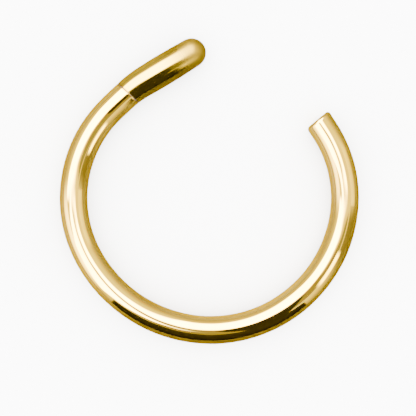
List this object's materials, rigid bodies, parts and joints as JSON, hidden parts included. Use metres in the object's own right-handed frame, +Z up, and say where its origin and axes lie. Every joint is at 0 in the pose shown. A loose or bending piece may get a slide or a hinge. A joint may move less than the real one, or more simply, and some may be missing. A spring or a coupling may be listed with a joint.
{
  "type": "nose ring",
  "caption": "Open nose hoop of round gold-coloured wire, cut blunt at one end and closed by a slim domed stopper cap at the other.",
  "frame": {"origin": "middle of the ring's footprint, on the surface that it lies on", "axes": "+Z up, square to the hoop; the hoop lies flat in X and Y with its mouth towards +Y, the stopper cap to -X of the mouth and the cut end to +X"},
  "size_m": [0.0086, 0.0088, 0.0009],
  "materials": {
    "gold_wire": "polished gold-coloured plating over surgical steel",
    "gold_cap": "polished gold-coloured plating over surgical steel"
  },
  "bodies": {
    "root": {"hoop_wire": "gold_wire", "stopper_cap": "gold_cap"}
  },
  "joints": []
}
